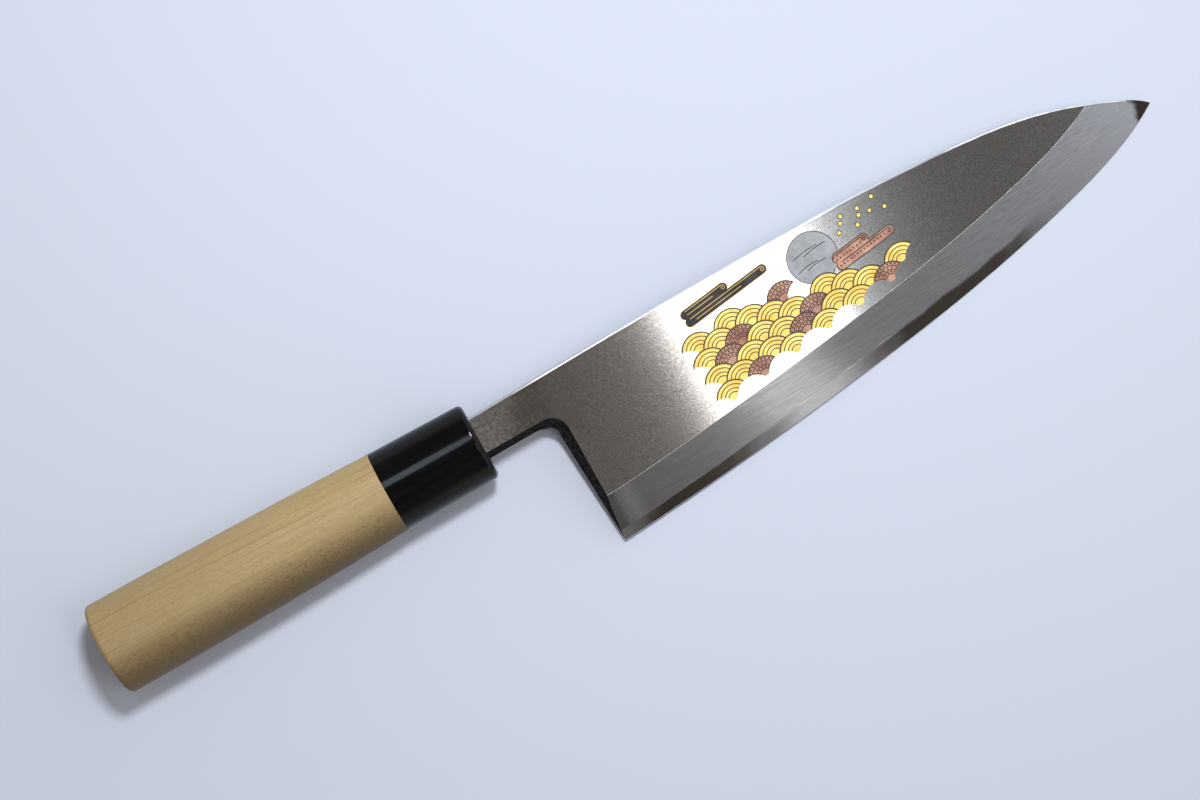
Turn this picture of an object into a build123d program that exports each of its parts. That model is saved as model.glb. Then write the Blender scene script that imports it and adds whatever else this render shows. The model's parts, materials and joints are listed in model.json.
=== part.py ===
from build123d import *
from math import cos, radians, sin
import os

os.makedirs("parts", exist_ok=True)

# Deba knife, all sizes in millimetres.
# While it is built, X runs along the knife from the ferrule's mouth to the tip, Y points to the
# spine and Z out of the bevelled face. At the end the finished pieces are laid on a table.

# Blade, seen square to its flat back
edge_length = 210.0
neck_length = 23.7
heel_drop = 48.6
tip_drop = 9.5
spine_rise = 9.75
tip_reach = neck_length + (edge_length**2 - (heel_drop - tip_drop) ** 2) ** 0.5

# Blade, through its thickness
back_depth = 3.5
heel_thickness = 7.0
tip_thickness_share = 0.42
face_fall_share = 0.21
edge_land = 0.2
bevel_width = 15.8
steel_layer = 1.4
steel_start = 14.0
spine_break = 1.2

# Outlines of the spine and the edge, as shares of the reach and of the fall to the tip
spine_run_shares = (0.0, 0.13, 0.264, 0.42, 0.528, 0.606, 0.693, 0.771, 0.849, 0.888, 0.923, 0.959, 1.0)
spine_fall_shares = (0.112, 0.065, 0.023, 0.003, 0.0, 0.016, 0.062, 0.13, 0.278, 0.403, 0.548, 0.727, 1.0)
edge_run_shares = (0.0, 0.18, 0.419, 0.659, 0.838, 0.958, 1.0)
edge_rise_shares = (0.0, 0.075, 0.219, 0.418, 0.643, 0.872, 1.0)
bevel_width_shares = (0.965, 0.97, 0.985, 1.0, 1.01, 1.015, 1.02, 1.05, 1.07)

# Hollow of the flat back
hollow_radius = 500.0
hollow_depth = 0.6
hollow_start = 29.0
hollow_length = 193.0

# Neck and choil
neck_drop = 7.0
neck_narrowing = 0.7
neck_seat = 2.8
neck_face_run = 2.8
choil_inset = 2.1
choil_face_run = 3.9
choil_face_run_at_heel = 2.2
choil_radius = 6.0
choil_break = 0.35

# Tang
tang_length = 92.0
tang_root_height = 11.0
tang_root_thickness = 5.6
tang_end_height = 6.0
tang_end_thickness = 3.0
tang_rise = 1.0

# Ferrule
ferrule_length = 31.8
ferrule_mouth_width = 24.9
ferrule_mouth_thickness = 20.4
ferrule_rear_width = 25.7
ferrule_rear_thickness = 21.2
ferrule_front_wall = 3.0
ferrule_front_round = 1.7

# Handle
handle_length = 96.6
handle_front_droop = 0.1
handle_front_width = 25.9
handle_front_thickness = 21.4
handle_swell_share = 0.3
handle_swell_width = 27.7
handle_swell_thickness = 23.2
butt_width = 29.5
butt_thickness = 25.0
butt_droop = 0.75
butt_round = 1.6
tenon_width = 20.5
tenon_height = 16.0
tenon_clearance = 0.1
tenon_end_gap = 0.2

# Bedding of the tang and seal of the ferrule's mouth
bedding_wall = 0.7
seal_gap = 0.5
seal_recess = 0.3

# Inlaid picture: waves, clouds and a moon, in thin plates of four metals.
# It has its own frame on the flat face, with runs along the bevel and lifts away from it.
inlay_start = 68.0
inlay_drop = 27.5
inlay_slant = 7.7
inlay_thickness = 0.4
inlay_gap = 0.2
wave_radius = 6.0
waves_per_row = (6, 6, 5, 4, 3, 3, 2)
copper_wave_share = 0.25
copper_row_shift_count = 3
moon_radius = 8.0
moon_run = 50.0
moon_lift = 20.5
cloud_height = 3.0
cloud_overlap = 0.3
dark_cloud_length = 30.0
dark_cloud_bar_shares = (1.0, 0.57)
dark_cloud_run = 7.0
dark_cloud_lift = 27.0
copper_cloud_length = 21.0
copper_cloud_bar_shares = (1.0, 0.62)
copper_cloud_run = 54.5
copper_cloud_lift = 13.2
flake_radius = 0.7
flake_run = 61.0
flake_lift = 19.5
flake_field_length = 16.0
flake_field_height = 7.0
flake_run_shares = (0.0, 0.2, 0.38, 0.55, 0.72, 0.9, 0.12, 0.5, 1.0)
flake_lift_shares = (0.3, 0.85, 0.1, 0.7, 0.3, 0.75, 0.6, 0.42, 0.05)

# Fits and cutting
overrun = 10.0

# Rest on a table: turned edge-down about the knife's length, then nose-down
rest_roll_angle = 4.88
rest_dip_angle = 1.37

back_level = -back_depth
face_level = back_level + heel_thickness
run = tip_reach - neck_length
fall = spine_rise + tip_drop


def across(x):
    """Plane square to the knife's length at x, with its own X to the spine and Y to the face."""
    return Plane(origin=(x, 0, 0), x_dir=(0, 1, 0), z_dir=(1, 0, 0))


# Outline of the blade
spine_points = [
    (tip_reach * along, spine_rise - fall * down)
    for along, down in zip(spine_run_shares, spine_fall_shares)
]
edge_points = [
    (neck_length + run * along, -heel_drop + (heel_drop - tip_drop) * up)
    for along, up in zip(edge_run_shares, edge_rise_shares)
]

with BuildLine() as edge_line:
    Spline(*edge_points)
edge_curve = edge_line.edges()[0]

with BuildSketch() as blank_outline:
    with BuildLine():
        spine_curve = Spline(*spine_points)
        neck_top = Line((-neck_seat, spine_points[0][1]), spine_curve @ 0)
        Spline(*edge_points)
        edge_start = Line((-neck_seat, -heel_drop), edge_points[0])
        Line(neck_top @ 0, edge_start @ 0)
    make_face()

# The bevelled side's flat face falls towards the tip and towards the edge
face_drop_per_run = heel_thickness * (1 - tip_thickness_share) / run
face_drop_per_width = heel_thickness * face_fall_share / (heel_drop + spine_rise)
face_origin = (neck_length, spine_rise, face_level)
face_plane = Plane(
    origin=face_origin,
    x_dir=(1, 0, -face_drop_per_run),
    z_dir=(face_drop_per_run, -face_drop_per_width, 1),
)


def face_height(x, y):
    """Level of the flat face above a point of the blade."""
    return face_level - face_drop_per_run * (x - neck_length) - face_drop_per_width * (spine_rise - y)


# The bevel is a surface of straight rules, square to the edge and a little longer both ways
def bevel_rule(share, width, step):
    """Both ends of the rule at a share of the edge, moved on by a step along it."""
    foot = edge_curve @ share
    along = edge_curve % share
    square = Vector(-along.Y, along.X, 0)
    top = foot + square * width
    slope = (face_height(top.X, top.Y) - back_level - edge_land) / width
    below = foot + along * step - square * overrun
    above = foot + along * step + square * (width + overrun)
    low = back_level + edge_land - slope * overrun
    high = back_level + edge_land + slope * (width + overrun)
    return Vector(below.X, below.Y, low), Vector(above.X, above.Y, high)


rule_count = len(bevel_width_shares)
rules = [bevel_rule(0, bevel_width * bevel_width_shares[0], -overrun)]
for number, share in enumerate(bevel_width_shares):
    rules.append(bevel_rule(number / (rule_count - 1), bevel_width * share, 0))
rules.append(bevel_rule(1, bevel_width * bevel_width_shares[-1], overrun))

with BuildLine() as bevel_foot:
    Spline(*[below for below, above in rules])
with BuildLine() as bevel_top:
    Spline(*[above for below, above in rules])
bevel_surface = Face.make_surface_from_curves(bevel_foot.edges()[0], bevel_top.edges()[0])

with BuildPart() as bevel_waste:
    extrude(bevel_surface, amount=heel_thickness + bevel_width, dir=(0, 0, 1))


# The neck's lower side and the choil slope outwards from the face to the back
def notch_outline(face_share):
    """The empty corner below the neck, at a share of the way from the back to the face."""
    neck_shift = neck_face_run * face_share
    root = (-neck_seat - overrun, -neck_drop + neck_shift)
    corner = (
        neck_length - choil_inset + choil_face_run * face_share,
        -neck_drop + neck_narrowing + neck_shift,
    )
    heel = (neck_length + choil_face_run_at_heel * face_share, -heel_drop)
    below = (
        heel[0] + (heel[0] - corner[0]) * overrun / (corner[1] - heel[1]),
        heel[1] - overrun,
    )
    with BuildLine() as outline:
        side = FilletPolyline(root, corner, below, radius=choil_radius)
        Polyline(side @ 1, (root[0], below[1]), side @ 0)
    return outline.wires()[0]


over_share = overrun / heel_thickness
with BuildPart() as notch_waste:
    with BuildSketch(Plane.XY.offset(back_level - overrun)):
        make_face(notch_outline(-over_share).edges())
    with BuildSketch(Plane.XY.offset(face_level + overrun)):
        make_face(notch_outline(1 + over_share).edges())
    loft(ruled=True)

hollow_axis_start = Vector(hollow_start, (spine_rise - heel_drop) / 2, back_level + hollow_depth - hollow_radius)
hollow_axis_end = Vector(hollow_start + hollow_length, -tip_drop, back_level - hollow_radius)

# Whole blade, before it is parted into its two metals
with BuildPart() as blade_form:
    with BuildSketch(Plane.XY.offset(back_level)):
        add(blank_outline.sketch)
    extrude(amount=heel_thickness + overrun)
    split(bisect_by=face_plane, keep=Keep.BOTTOM)
    add(bevel_waste.part, mode=Mode.SUBTRACT)
    add(notch_waste.part, mode=Mode.SUBTRACT)
    flat_face = blade_form.faces().filter_by(GeomType.PLANE).sort_by(SortBy.AREA)[-1]
    fillet(flat_face.edges().sort_by(Axis.Y)[-2:], radius=spine_break)
    flat_face = blade_form.faces().filter_by(GeomType.PLANE).sort_by(SortBy.AREA)[-1]
    chamfer(flat_face.edges().sort_by(Axis.X)[1:4], length=choil_break)
    with BuildSketch(Plane(origin=hollow_axis_start, z_dir=hollow_axis_end - hollow_axis_start)):
        Circle(hollow_radius)
    extrude(amount=hollow_length, mode=Mode.SUBTRACT)


# The tang narrows evenly from the neck to its end
def tang_share(x):
    """Share of the tang's length, from the neck's seat to its end."""
    return (-x - neck_seat) / (tang_length - neck_seat)


def tang_plane(x):
    """Plane of a section of the tang, centred on it."""
    return Plane(origin=(x, tang_rise * (1 - tang_share(x)), 0), x_dir=(0, 1, 0), z_dir=(1, 0, 0))


def tang_height(x):
    return tang_root_height + (tang_end_height - tang_root_height) * tang_share(x)


def tang_thickness(x):
    return tang_root_thickness + (tang_end_thickness - tang_root_thickness) * tang_share(x)


with BuildPart() as tang:
    for x in (-neck_seat, -tang_length):
        with BuildSketch(tang_plane(x)):
            Rectangle(tang_height(x), tang_thickness(x))
    loft()

tenon_front = -ferrule_front_wall - tenon_end_gap
slot_end = -tang_length - bedding_wall
with BuildPart() as tang_slot:
    for x in (tenon_front, slot_end):
        with BuildSketch(tang_plane(x)):
            Rectangle(tang_height(x) + 2 * bedding_wall, tang_thickness(x) + 2 * bedding_wall)
    loft()

# Frame of the inlaid picture on the flat face
slant = radians(inlay_slant)
picture_origin = (inlay_start, -inlay_drop, face_height(inlay_start, -inlay_drop))
picture = Plane(
    origin=picture_origin,
    x_dir=(cos(slant), sin(slant), face_drop_per_width * sin(slant) - face_drop_per_run * cos(slant)),
    z_dir=face_plane.z_dir,
)

# One wave of the pattern: a disc with the waves in front of it cut away
wave_half = wave_radius / 2
with BuildSketch() as wave_scale:
    Circle(wave_radius - inlay_gap)
    with Locations((-wave_radius, -wave_half), (wave_radius, -wave_half), (0, -wave_radius)):
        Circle(wave_radius, mode=Mode.SUBTRACT)

gold_waves = []
copper_waves = []
copper_every = round(1 / copper_wave_share)
for row, count in enumerate(waves_per_row):
    for place in range(count):
        centre = (wave_radius * (1 + 2 * place + row % 2), wave_half * row)
        metal = copper_waves if (place + copper_row_shift_count * row) % copper_every == 1 else gold_waves
        metal.append(centre)

flakes = [
    (flake_run + flake_field_length * along, flake_lift + flake_field_height * up)
    for along, up in zip(flake_run_shares, flake_lift_shares)
]


def cloud(cloud_run, cloud_lift, longest, bar_shares, margin):
    """A bank of cloud: round-ended bars, each on the one below, starting at the same side."""
    with BuildSketch() as bank:
        for row, share in enumerate(bar_shares):
            length = longest * share
            lift = cloud_lift + row * (cloud_height - cloud_overlap)
            with Locations((cloud_run + length / 2, lift)):
                SlotOverall(length + 2 * margin, cloud_height + 2 * margin)
    return bank.sketch


with BuildPart() as inlay_gold:
    with BuildSketch(picture):
        with Locations(*gold_waves):
            add(wave_scale.sketch)
        with Locations(*flakes):
            Circle(flake_radius)
    extrude(amount=-inlay_thickness)

with BuildPart() as inlay_copper:
    with BuildSketch(picture):
        with Locations(*copper_waves):
            add(wave_scale.sketch)
        add(cloud(copper_cloud_run, copper_cloud_lift, copper_cloud_length, copper_cloud_bar_shares, 0))
    extrude(amount=-inlay_thickness)

with BuildPart() as inlay_dark:
    with BuildSketch(picture):
        add(cloud(dark_cloud_run, dark_cloud_lift, dark_cloud_length, dark_cloud_bar_shares, 0))
    extrude(amount=-inlay_thickness)

with BuildPart() as inlay_silver:
    with BuildSketch(picture):
        with Locations((moon_run, moon_lift)):
            Circle(moon_radius)
        with Locations(*gold_waves, *copper_waves):
            Circle(wave_radius, mode=Mode.SUBTRACT)
        veil = cloud(copper_cloud_run, copper_cloud_lift, copper_cloud_length, copper_cloud_bar_shares, inlay_gap)
        add(veil, mode=Mode.SUBTRACT)
    extrude(amount=-inlay_thickness)

# Hard steel: the flat back and the edge
with BuildPart() as blade_steel:
    add(blade_form.part)
    split(bisect_by=Plane.XY.offset(back_level + steel_layer), keep=Keep.BOTTOM)
    split(bisect_by=across(steel_start), keep=Keep.TOP)

# Soft iron: the body of the blade, the neck and the tang, with the beds of the picture
with BuildPart() as blade_iron:
    add(blade_form.part)
    add(blade_steel.part, mode=Mode.SUBTRACT)
    add(tang.part)
    for metal in (inlay_gold, inlay_copper, inlay_dark, inlay_silver):
        add(metal.part, mode=Mode.SUBTRACT)

# Ferrule: an oval tube with a front wall, closed but for the neck's mouth
mouth_low = -neck_drop - seal_gap
mouth_high = spine_points[0][1] + seal_gap
mouth_back = back_level - seal_gap
mouth_face = face_height(-neck_seat, mouth_high) + seal_gap
mouth_plane = Plane(
    origin=(0, (mouth_low + mouth_high) / 2, (mouth_back + mouth_face) / 2),
    x_dir=(0, 1, 0),
    z_dir=(1, 0, 0),
)

with BuildPart() as ferrule:
    with BuildSketch(across(-ferrule_length)):
        Ellipse(ferrule_rear_width / 2, ferrule_rear_thickness / 2)
    with BuildSketch(across(0)):
        Ellipse(ferrule_mouth_width / 2, ferrule_mouth_thickness / 2)
    loft()
    fillet(ferrule.faces().sort_by(Axis.X)[-1].edges(), radius=ferrule_front_round)
    with BuildSketch(across(-ferrule_front_wall)):
        Ellipse(tenon_width / 2 + tenon_clearance, tenon_height / 2 + tenon_clearance)
    extrude(amount=-ferrule_length, mode=Mode.SUBTRACT)
    with BuildSketch(mouth_plane.offset(overrun)):
        Rectangle(mouth_high - mouth_low, mouth_face - mouth_back)
    extrude(amount=-overrun - ferrule_front_wall, mode=Mode.SUBTRACT)

# Seal: dark wax that fills the mouth around the neck
with BuildPart() as mouth_seal:
    with BuildSketch(mouth_plane.offset(-ferrule_front_wall)):
        Rectangle(mouth_high - mouth_low, mouth_face - mouth_back)
    extrude(amount=ferrule_front_wall - seal_recess)
    add(blade_iron.part, mode=Mode.SUBTRACT)

# Bedding: the cement that holds the tang in its slot
with BuildPart() as tang_bedding:
    add(tang_slot.part)
    add(tang.part, mode=Mode.SUBTRACT)

# Handle: an oval of plain wood that swells to the butt, with a tenon for the ferrule
butt = -ferrule_length - handle_length
swell = -ferrule_length - handle_length * handle_swell_share


def handle_section(x, droop):
    """Plane of a section of the handle, with its centre a droop below the knife's axis."""
    return Plane(origin=(x, -droop, 0), x_dir=(0, 1, 0), z_dir=(1, 0, 0))


with BuildPart() as handle:
    with BuildSketch(handle_section(-ferrule_length, handle_front_droop)):
        Ellipse(handle_front_width / 2, handle_front_thickness / 2)
    with BuildSketch(handle_section(swell, butt_droop / 2)):
        Ellipse(handle_swell_width / 2, handle_swell_thickness / 2)
    with BuildSketch(handle_section(butt, butt_droop)):
        Ellipse(butt_width / 2, butt_thickness / 2)
    loft()
    fillet(handle.faces().sort_by(Axis.X)[0].edges(), radius=butt_round)
    with BuildSketch(across(-ferrule_length)):
        Ellipse(tenon_width / 2, tenon_height / 2)
    extrude(amount=ferrule_length + tenon_front)
    add(tang_slot.part, mode=Mode.SUBTRACT)

# The knife lies on its back, where it comes to rest on a table
pieces = {
    "blade_iron": blade_iron,
    "blade_steel": blade_steel,
    "ferrule": ferrule,
    "mouth_seal": mouth_seal,
    "tang_bedding": tang_bedding,
    "handle": handle,
    "inlay_gold": inlay_gold,
    "inlay_copper": inlay_copper,
    "inlay_dark": inlay_dark,
    "inlay_silver": inlay_silver,
}
turned = Location((0, 0, 0), (rest_roll_angle, rest_dip_angle, 0))
reach = Compound([piece.part.moved(turned) for piece in pieces.values()]).bounding_box()
middle = reach.center()
lying = Location((-middle.X, -middle.Y, -reach.min.Z)) * turned

for name, piece in pieces.items():
    piece.part.move(lying)
    piece.part.label = name
    export_step(piece.part, f"parts/{name}.step")
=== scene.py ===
# %% [markdown]
# A deba knife, rebuilt for Blender. A deba is the thick, heavy knife with which a Japanese cook cuts up
# fish. Its blade is ground on one side only, the other side is flat with a shallow hollow, and its handle
# is plain wood with a black horn ferrule. The solid parts come ready from the CAD model. This script
# gives each of them its finish, engraves the metal picture in the blade, and lights it on a pale table.

# %% Load the solid parts
import json
import math

import bmesh
import bpy
from mathutils import Euler, Matrix, Vector

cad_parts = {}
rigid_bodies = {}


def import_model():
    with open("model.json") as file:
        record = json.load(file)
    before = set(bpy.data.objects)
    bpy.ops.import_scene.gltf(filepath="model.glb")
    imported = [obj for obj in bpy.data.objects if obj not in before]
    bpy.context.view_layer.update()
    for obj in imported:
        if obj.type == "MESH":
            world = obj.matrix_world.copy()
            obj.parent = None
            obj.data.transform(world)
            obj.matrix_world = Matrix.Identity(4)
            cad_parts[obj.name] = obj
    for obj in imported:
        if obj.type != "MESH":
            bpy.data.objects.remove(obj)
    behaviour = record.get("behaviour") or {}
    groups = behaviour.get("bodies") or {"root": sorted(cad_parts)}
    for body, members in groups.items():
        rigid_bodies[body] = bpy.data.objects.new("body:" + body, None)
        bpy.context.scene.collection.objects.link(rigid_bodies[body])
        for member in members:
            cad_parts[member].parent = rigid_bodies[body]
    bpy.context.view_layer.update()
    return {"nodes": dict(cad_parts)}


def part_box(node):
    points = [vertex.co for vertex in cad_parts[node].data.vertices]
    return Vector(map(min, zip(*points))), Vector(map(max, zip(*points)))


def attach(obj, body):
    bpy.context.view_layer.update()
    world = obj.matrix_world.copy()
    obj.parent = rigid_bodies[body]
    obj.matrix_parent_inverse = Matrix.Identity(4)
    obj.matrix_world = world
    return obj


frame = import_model()
nodes = frame["nodes"]
mm = 0.001

# %% [markdown]
# The knife doesn't lie level. Its ferrule and its cutting edge touch the table, so it is turned a little
# edge-down and nose-down. Wood grain and polishing marks follow the knife, not the table, so every
# pattern needs the knife's own axes: X to the tip, Y to the spine and Z out of the bevelled face, from
# the centre of the ferrule's mouth. A Mapping node of the Texture type undoes a place and a turn, which
# is what a pattern needs, and its scale makes one unit a millimetre.

# %% The knife's own axes
edge_down = math.radians(4.88)
nose_down = math.radians(1.37)
knife_axes = Matrix.Rotation(edge_down, 3, "X") @ Matrix.Rotation(nose_down, 3, "Y")
knife_turn = knife_axes.to_euler()

ferrule_length = 31.8 * mm
ferrule_low, ferrule_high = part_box("ferrule")
mouth_place = (ferrule_low + ferrule_high) / 2 + knife_axes @ Vector((ferrule_length / 2, 0, 0))
to_knife = (Matrix.Translation(mouth_place) @ knife_axes.to_4x4()).inverted()
print("ferrule's mouth:", tuple(mouth_place))

# %% [markdown]
# Materials are built from nodes. A few small helpers keep their code short: one starts a material and
# gives the knife's coordinates, and the others each add one kind of node. Every pattern reads these
# coordinates, so it stays on the piece when the camera moves.

# %% Helpers for materials
class NodeTree:
    """What every tree of nodes needs: to add a node and to link two sockets."""

    def add(self, kind, **settings):
        node = self.tree.nodes.new(kind)
        for setting, value in settings.items():
            setattr(node, setting, value)
        return node

    def link(self, source, target):
        self.tree.links.new(source, target)


class Finish(NodeTree):
    """A material under construction, with the knife's coordinates ready to use."""

    def __init__(self, name):
        self.material = bpy.data.materials.new(name)
        self.material.use_nodes = True
        self.tree = self.material.node_tree
        self.shader = self.tree.nodes["Principled BSDF"]
        texture = self.add("ShaderNodeTexCoord")
        self.place = self.turned(texture.outputs["Object"], "TEXTURE", mouth_place, mm)
        self.facing = self.turned(texture.outputs["Normal"], "TEXTURE", (0, 0, 0), 1)

    def fill(self, socket, value):
        """Sets a socket to a number or colour, or links it if the value is an output."""
        if isinstance(value, bpy.types.NodeSocket):
            self.link(value, socket)
        else:
            socket.default_value = value

    def turned(self, vector, kind, place, scale):
        node = self.add("ShaderNodeMapping", vector_type=kind)
        self.link(vector, node.inputs["Vector"])
        node.inputs["Location"].default_value = place
        node.inputs["Rotation"].default_value = knife_turn
        node.inputs["Scale"].default_value = (scale, scale, scale)
        return node.outputs[0]

    def stretched(self, factors, vector=None):
        """Coordinates multiplied by three factors: a small factor makes a pattern long that way."""
        node = self.add("ShaderNodeVectorMath", operation="MULTIPLY")
        self.link(vector or self.place, node.inputs[0])
        node.inputs[1].default_value = factors
        return node.outputs[0]

    def noise(self, vector, scale, detail=4.0, roughness=0.55):
        node = self.add("ShaderNodeTexNoise")
        self.link(vector, node.inputs["Vector"])
        node.inputs["Scale"].default_value = scale
        node.inputs["Detail"].default_value = detail
        node.inputs["Roughness"].default_value = roughness
        return node.outputs["Fac"]

    def ramp(self, factor, *stops, ease=False):
        """A ramp through (place, level or colour) stops."""
        node = self.add("ShaderNodeValToRGB")
        self.link(factor, node.inputs["Fac"])
        ramp = node.color_ramp
        ramp.interpolation = "EASE" if ease else "LINEAR"
        while len(ramp.elements) < len(stops):
            ramp.elements.new(0.5)
        for element, (place, level) in zip(ramp.elements, stops):
            element.position = place
            element.color = level if isinstance(level, tuple) else (level, level, level, 1)
        return node.outputs["Color"]

    def between(self, value, low, high):
        """0 at low, 1 at high, with a soft start and end."""
        node = self.add("ShaderNodeMapRange", interpolation_type="SMOOTHSTEP")
        self.link(value, node.inputs["Value"])
        node.inputs["From Min"].default_value = low
        node.inputs["From Max"].default_value = high
        return node.outputs["Result"]

    def math(self, operation, a, b=0.0):
        node = self.add("ShaderNodeMath", operation=operation)
        self.fill(node.inputs[0], a)
        self.fill(node.inputs[1], b)
        return node.outputs[0]

    def rest(self, share):
        """What a share leaves of one."""
        return self.math("SUBTRACT", 1.0, share)

    def mix(self, factor, a, b, blend="MIX"):
        node = self.add("ShaderNodeMix", data_type="RGBA", blend_type=blend)
        self.fill(node.inputs["Factor"], factor)
        self.fill(node.inputs["A"], a)
        self.fill(node.inputs["B"], b)
        return node.outputs["Result"]

    def split(self, vector):
        node = self.add("ShaderNodeSeparateXYZ")
        self.link(vector, node.inputs[0])
        return node.outputs

    def bump(self, height, strength, distance):
        node = self.add("ShaderNodeBump")
        self.link(height, node.inputs["Height"])
        node.inputs["Strength"].default_value = strength
        node.inputs["Distance"].default_value = distance
        self.link(node.outputs[0], self.shader.inputs["Normal"])

    def surface(self, **values):
        """Sets or links the shader's sockets, named with underscores for spaces."""
        for name, value in values.items():
            self.fill(self.shader.inputs[name.replace("_", " ")], value)
        return self.material


def tone(red, green, blue):
    """An 8-bit screen colour as the linear colour that a shader takes."""
    def linear(level):
        share = level / 255
        return share / 12.92 if share <= 0.04045 else ((share + 0.055) / 1.055) ** 2.4
    return (linear(red), linear(green), linear(blue), 1.0)


# %% [markdown]
# The camera looks almost straight down from three quarters of a metre, with a long lens, as the
# photograph was taken. The knife lies at 29 degrees in the picture, so the camera is turned the other
# way. The camera leans by less than a degree, which two small angles describe.

# %% Camera
camera_height = 751 * mm
camera_place = Vector((-17.3 * mm, 16.53 * mm, camera_height))
picture_turn = math.radians(-29)
lean_across = math.radians(-0.257)
lean_along = math.radians(-0.538)

camera_data = bpy.data.cameras.new("camera")
camera_data.lens = 73.5
camera_data.sensor_width = 36.0
camera = bpy.data.objects.new("camera", camera_data)
bpy.context.collection.objects.link(camera)
camera.location = camera_place
lean = Euler((lean_across, lean_along, 0.0)).to_matrix()
camera.rotation_euler = (Matrix.Rotation(picture_turn, 3, "Z") @ lean).to_euler()
bpy.context.scene.camera = camera
print("camera looks along", tuple(-camera.rotation_euler.to_matrix().col[2]))

# %% [markdown]
# The main lamp is small and stands on the spine's side, towards the tip. It draws the white band across
# the blade and the short shadows below the handle and the neck. A wide, weak tube hangs over the blade
# and lies across it, where the flat face mirrors it, and gives the band its soft sides. A narrow slit on
# the edge's side is mirrored in the bevel, and a weak panel over the handle draws the thin line along the
# black ferrule. The room is pale at the horizon and dim overhead, because ground metal seen from above
# mirrors what is overhead, and it glows on the tip's side, as from a window.

# %% Lamps
lamp_place = Vector((176 * mm, 274 * mm, 700 * mm))
panel_place = Vector((-80 * mm, 205 * mm, 745 * mm))
slit_place = Vector((190 * mm, -540 * mm, 520 * mm))
tube_place = Vector((166 * mm, -162 * mm, 745 * mm))


def area_lamp(name, place, target, width, depth, power, color):
    """A soft lamp, whose width lies along the knife."""
    data = bpy.data.lights.new(name, "AREA")
    data.shape = "ELLIPSE"
    data.size, data.size_y = width, depth
    data.energy = power
    data.color = color
    lamp = bpy.data.objects.new(name, data)
    bpy.context.collection.objects.link(lamp)
    lamp.location = place
    back = (place - target).normalized()
    side = (Vector((1, 0, 0)) - back * back.x).normalized()
    lamp.rotation_euler = Matrix((side, back.cross(side), back)).transposed().to_euler()
    print(name, "gives", power, "W")


blade_middle = Vector((45 * mm, 0, 0))
bevel_middle = Vector((41 * mm, -15 * mm, 5 * mm))
face_middle = Vector((41 * mm, 0, 8 * mm))
ferrule_top = Vector((-65 * mm, 17 * mm, 20 * mm))
area_lamp("main_lamp", lamp_place, blade_middle, 136 * mm, 136 * mm, 4.1, (0.945, 1.0, 1.06))
area_lamp("slit_window", slit_place, bevel_middle, 56 * mm, 300 * mm, 0.028, (1.0, 0.98, 0.95))
area_lamp("wide_tube", tube_place, face_middle, 106 * mm, 340 * mm, 0.45, (1.0, 1.0, 0.99))
area_lamp("weak_panel", panel_place, ferrule_top, 140 * mm, 190 * mm, 0.30, (0.74, 0.86, 1.0))

# %% Room
room = bpy.data.worlds.new("room")
room.use_nodes = True
bpy.context.scene.world = room
room_nodes, room_links = room.node_tree.nodes, room.node_tree.links

direction = room_nodes.new("ShaderNodeTexCoord")
upward = room_nodes.new("ShaderNodeSeparateXYZ")
room_ramp = room_nodes.new("ShaderNodeValToRGB")
stops = room_ramp.color_ramp.elements
stops[0].position, stops[0].color = 0.06, (0.83, 0.76, 0.65, 1)
stops[1].position, stops[1].color = 0.45, (0.184, 0.175, 0.162, 1)
zenith = stops.new(1.0)
zenith.color = (0.160, 0.151, 0.141, 1)

window_side = room_nodes.new("ShaderNodeVectorMath")
window_side.operation = "DOT_PRODUCT"
window_side.inputs[1].default_value = (2.6, -0.2, -0.75)
window_glow = room_nodes.new("ShaderNodeMapRange")
window_glow.interpolation_type = "SMOOTHSTEP"
window_glow.inputs["From Min"].default_value = 0.0
window_glow.inputs["From Max"].default_value = 1.1
lit_room = room_nodes.new("ShaderNodeMix")
lit_room.data_type = "RGBA"
lit_room.inputs["B"].default_value = (0.93, 0.98, 1.06, 1)

room_links.new(direction.outputs["Generated"], upward.inputs[0])
room_links.new(upward.outputs["Z"], room_ramp.inputs["Fac"])
room_links.new(direction.outputs["Generated"], window_side.inputs[0])
room_links.new(window_side.outputs["Value"], window_glow.inputs["Value"])
room_links.new(window_glow.outputs["Result"], lit_room.inputs["Factor"])
room_links.new(room_ramp.outputs["Color"], lit_room.inputs["A"])
room_links.new(lit_room.outputs["Result"], room_nodes["Background"].inputs["Color"])

# %% [markdown]
# The table is a plain, slightly bluish white board. It is part of the studio and not of the knife.

# %% Table
table_half = 3.0
table_mesh = bpy.data.meshes.new("table")
corners = [(side * table_half, end * table_half, 0) for side, end in ((-1, -1), (1, -1), (1, 1), (-1, 1))]
table_mesh.from_pydata(corners, [], [(0, 1, 2, 3)])
table = bpy.data.objects.new("table", table_mesh)
bpy.context.collection.objects.link(table)
board = Finish("white_board")
board.surface(Base_Color=tone(206, 210, 222), Roughness=0.6, Specular_IOR_Level=0.2)
table_mesh.materials.append(board.material)


# %% [markdown]
# The CAD parts keep their own meshes, whose surface directions are exact. Each only gets its material.

# %% Dress a CAD part
def dress(node, material):
    piece = nodes[node]
    piece.data.materials.clear()
    piece.data.materials.append(material)
    print(node, "is finished with", material.name)


# %% [markdown]
# The body of the blade is soft iron, ground and then rubbed along its length with stones. Such fine marks
# all run one way, so a lamp is not mirrored as a spot: it is drawn out across the marks into a band. The
# shader does this with its anisotropy, and its Tangent socket takes the direction in which the band runs,
# straight across the blade, or down the narrow sides. A Tangent node would bend that direction where the
# surface turns.

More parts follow.
